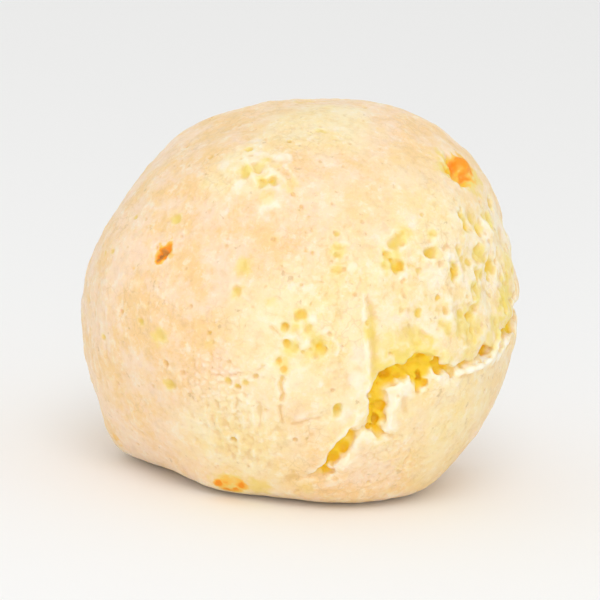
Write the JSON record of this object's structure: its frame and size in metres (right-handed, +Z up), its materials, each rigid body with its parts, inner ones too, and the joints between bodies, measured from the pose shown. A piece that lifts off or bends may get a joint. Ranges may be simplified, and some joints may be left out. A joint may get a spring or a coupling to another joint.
{
  "type": "cheese bread ball",
  "caption": "Round baked cheese bread ball with a pale thin crust, torn open over a soft bubbly crumb, on a flat foot.",
  "frame": {"origin": "middle of the flat foot that the ball rests on", "axes": "+Z up from the foot to the crown, -Y towards the front where the crust has torn, +X to the right seen from the front"},
  "size_m": [0.0525, 0.052, 0.0451],
  "materials": {
    "crust": "matt thin baked crust, pale cream yellow, over a moist pale yellow crumb"
  },
  "bodies": {
    "root": {"cheese_ball": "crust"}
  },
  "joints": []
}
